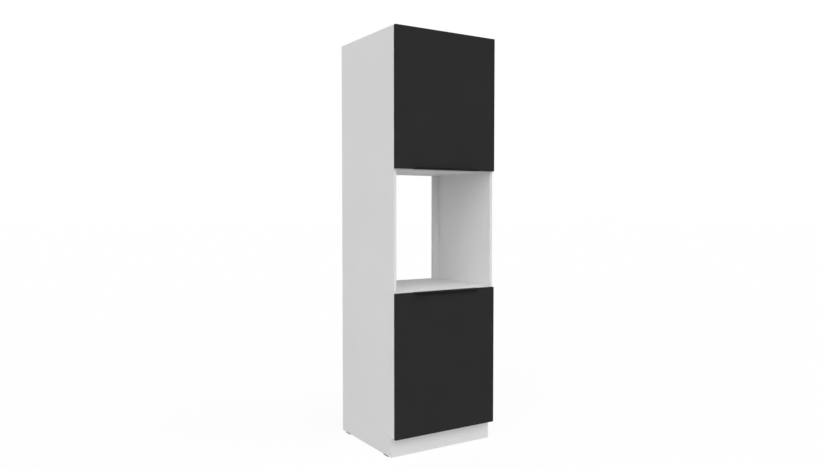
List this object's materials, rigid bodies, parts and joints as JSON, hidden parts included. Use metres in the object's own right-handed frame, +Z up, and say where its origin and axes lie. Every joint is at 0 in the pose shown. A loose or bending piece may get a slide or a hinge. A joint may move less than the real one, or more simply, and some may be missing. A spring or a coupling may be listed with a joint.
{
  "type": "tall oven housing unit",
  "caption": "Tall white kitchen housing for a built-in oven: an open niche at working height, a black hinged door above and below it, black edge pulls and a set-back plinth.",
  "frame": {"origin": "on the floor, under the middle of the whole cabinet with its closed doors", "axes": "+Z up along the height, -Y towards the person in front, +X to the right as seen from the front"},
  "size_m": [0.6, 0.586, 2.105],
  "materials": {
    "white_board": "white melamine facing with a fine matt grain, on chipboard",
    "back_board": "thin fibreboard, painted white on the inside",
    "black_board": "matt black foil on board, dark edge band",
    "black_metal": "satin black powder coat",
    "nickel": "nickel-plated steel",
    "black_plastic": "hard black plastic"
  },
  "bodies": {
    "carcass": {"side_panel_left": "white_board", "side_panel_right": "white_board", "bottom_panel": "white_board", "niche_floor": "white_board", "niche_ceiling": "white_board", "top_panel": "white_board", "plinth_board": "white_board", "niche_rail_left": "white_board", "niche_rail_right": "white_board", "lower_shelf": "white_board", "upper_shelf": "white_board", "lower_back_panel": "back_board", "upper_back_panel": "back_board", "glide_front_left": "black_plastic", "glide_front_right": "black_plastic", "glide_rear_left": "black_plastic", "glide_rear_right": "black_plastic", "lower_peg_front_left": "nickel", "lower_peg_front_right": "nickel", "lower_peg_rear_left": "nickel", "lower_peg_rear_right": "nickel", "upper_peg_front_left": "nickel", "upper_peg_front_right": "nickel", "upper_peg_rear_left": "nickel", "upper_peg_rear_right": "nickel", "upper_top_hinge_arm": "nickel", "upper_top_hinge_plate": "nickel", "upper_bottom_hinge_arm": "nickel", "upper_bottom_hinge_plate": "nickel", "lower_top_hinge_arm": "nickel", "lower_top_hinge_plate": "nickel", "lower_bottom_hinge_arm": "nickel", "lower_bottom_hinge_plate": "nickel"},
    "upper_door": {"upper_door": "black_board", "upper_door_pull": "black_metal", "upper_top_hinge_cup": "nickel", "upper_bottom_hinge_cup": "nickel"},
    "upper_long_levers": {"upper_top_hinge_long_lever": "nickel", "upper_bottom_hinge_long_lever": "nickel"},
    "upper_short_levers": {"upper_top_hinge_short_lever": "nickel", "upper_bottom_hinge_short_lever": "nickel"},
    "lower_door": {"lower_door": "black_board", "lower_door_pull": "black_metal", "lower_top_hinge_cup": "nickel", "lower_bottom_hinge_cup": "nickel"},
    "lower_long_levers": {"lower_top_hinge_long_lever": "nickel", "lower_bottom_hinge_long_lever": "nickel"},
    "lower_short_levers": {"lower_top_hinge_short_lever": "nickel", "lower_bottom_hinge_short_lever": "nickel"}
  },
  "joints": [
    {"name": "upper_long_lever_pivot", "type": "hinge", "parent": "carcass", "child": "upper_long_levers", "pos_m": [0.254, -0.24534, 1.763], "axis": [0, 0, 1], "range_deg": [-30.3, 0]},
    {"name": "upper_door_hinge", "type": "hinge", "parent": "upper_long_levers", "child": "upper_door", "pos_m": [0.28764, -0.2662, 1.763], "axis": [0, 0, 1], "range_deg": [0, 125.2]},
    {"name": "upper_short_lever_pivot", "type": "hinge", "parent": "carcass", "child": "upper_short_levers", "pos_m": [0.26424, -0.25689, 1.763], "axis": [0, 0, 1], "range_deg": [-43, 0]},
    {"name": "lower_long_lever_pivot", "type": "hinge", "parent": "carcass", "child": "lower_long_levers", "pos_m": [0.254, -0.24534, 0.459], "axis": [0, 0, 1], "range_deg": [-30.3, 0]},
    {"name": "lower_door_hinge", "type": "hinge", "parent": "lower_long_levers", "child": "lower_door", "pos_m": [0.28764, -0.2662, 0.459], "axis": [0, 0, 1], "range_deg": [0, 125.2]},
    {"name": "lower_short_lever_pivot", "type": "hinge", "parent": "carcass", "child": "lower_short_levers", "pos_m": [0.26424, -0.25689, 0.459], "axis": [0, 0, 1], "range_deg": [-43, 0]}
  ],
  "couplings": [
    {"joint": "upper_long_lever_pivot", "follows": "upper_door_hinge", "ratio": -0.24156},
    {"joint": "upper_short_lever_pivot", "follows": "upper_door_hinge", "ratio": -0.34319},
    {"joint": "lower_long_lever_pivot", "follows": "lower_door_hinge", "ratio": -0.24156},
    {"joint": "lower_short_lever_pivot", "follows": "lower_door_hinge", "ratio": -0.34319}
  ]
}
